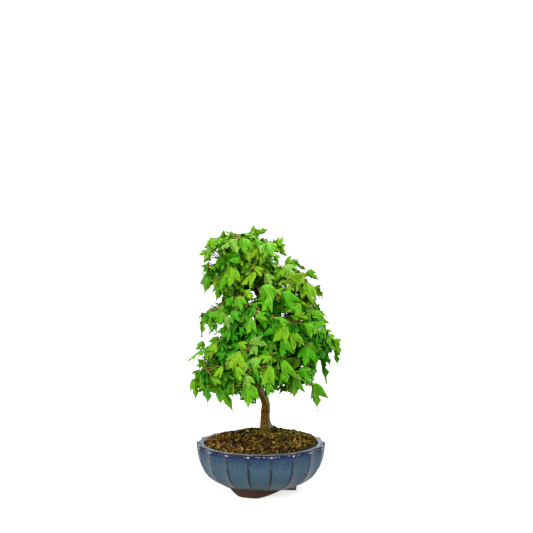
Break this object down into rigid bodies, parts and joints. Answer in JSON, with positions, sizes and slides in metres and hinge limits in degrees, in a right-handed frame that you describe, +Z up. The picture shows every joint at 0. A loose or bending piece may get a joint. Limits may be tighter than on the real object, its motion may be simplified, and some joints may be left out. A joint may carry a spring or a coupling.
{
  "type": "potted trident maple bonsai",
  "caption": "Small trained trident maple in full leaf, with a bent tapering trunk, in a round fluted blue-grey glazed bowl on bracket feet, filled with gritty soil.",
  "frame": {"origin": "on the level ground under the feet, below the middle of the whole plant's box; the bowl's axis is 5 mm to the left", "axes": "+Z up along the plant's height, +Y away from the side that the picture shows, +X to the right as seen from that side"},
  "size_m": [0.2317, 0.2002, 0.4068],
  "materials": {
    "blue_grey_glaze": "mottled blue-grey gloss glaze, brown where it breaks over the ridges and the rim",
    "grit_soil": "loose brown and ochre grains, matte",
    "grey_brown_bark": "smooth to finely furrowed grey-brown bark, matte",
    "green_leaf": "bright green leaf, soft sheen"
  },
  "bodies": {
    "root": {"bowl": "blue_grey_glaze", "soil": "grit_soil", "trunk": "grey_brown_bark", "bough_low_left": "grey_brown_bark", "bough_low_right": "grey_brown_bark", "bough_low_front": "grey_brown_bark", "bough_low_back_left": "grey_brown_bark", "bough_low_back_right": "grey_brown_bark", "bough_mid_left": "grey_brown_bark", "bough_mid_right": "grey_brown_bark", "bough_mid_front": "grey_brown_bark", "bough_mid_back": "grey_brown_bark", "bough_high_right": "grey_brown_bark", "bough_high_back": "grey_brown_bark", "bough_crown_left": "grey_brown_bark", "mass_low_left": "green_leaf", "mass_low_right": "green_leaf", "mass_low_front": "green_leaf", "mass_low_back_left": "green_leaf", "mass_low_back_right": "green_leaf", "mass_mid_left": "green_leaf", "mass_mid_right": "green_leaf", "mass_mid_front": "green_leaf", "mass_mid_back": "green_leaf", "mass_high_right": "green_leaf", "mass_high_back": "green_leaf", "mass_crown_left": "green_leaf", "mass_crown_top": "green_leaf"}
  },
  "joints": []
}
